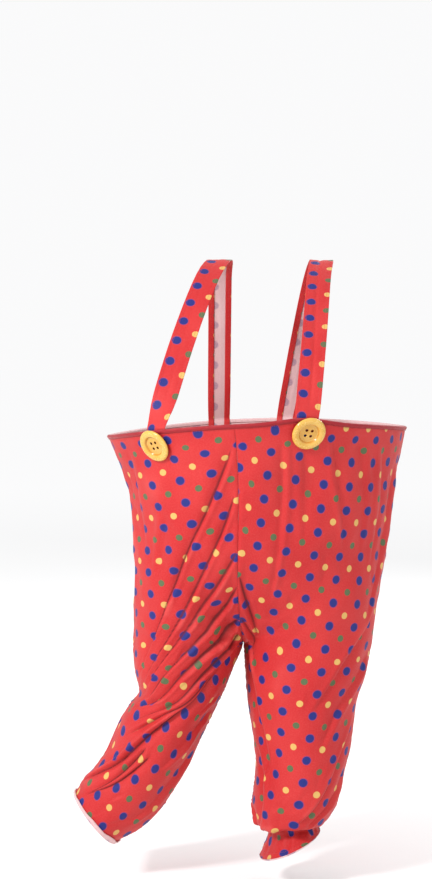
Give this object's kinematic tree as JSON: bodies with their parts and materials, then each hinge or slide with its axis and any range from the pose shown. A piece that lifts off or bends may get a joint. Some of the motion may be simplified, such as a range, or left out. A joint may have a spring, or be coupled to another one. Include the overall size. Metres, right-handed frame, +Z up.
{
  "type": "clown trousers",
  "caption": "Wide hooped fancy-dress trousers in dotted cloth, with two shoulder braces and big front buttons, in the hollow shape they keep when worn.",
  "frame": {"origin": "midway between the two places where the braces lie on the shoulders, on the braces' underside", "axes": "+Z up, -Y towards the front of the garment, -X towards the wearer's right leg"},
  "size_m": [0.5272, 0.4703, 0.9386],
  "materials": {
    "dotted_cloth": "smooth woven polyester, coral red with printed blue, yellow and green dots, pale on the wrong side",
    "binding_cloth": "dark red bias strip",
    "hem_reverse": "the pale wrong side of the dotted cloth",
    "button_plastic": "glossy yellow",
    "hoop_plastic": "plain, hidden in the binding"
  },
  "bodies": {
    "root": {"front_right": "dotted_cloth", "back_right": "dotted_cloth", "front_left": "dotted_cloth", "back_left": "dotted_cloth", "waist_hoop": "hoop_plastic", "waist_binding": "binding_cloth", "brace_right": "dotted_cloth", "brace_left": "dotted_cloth", "button_right": "button_plastic", "button_left": "button_plastic", "hem_right": "hem_reverse", "hem_left": "dotted_cloth"}
  },
  "joints": []
}
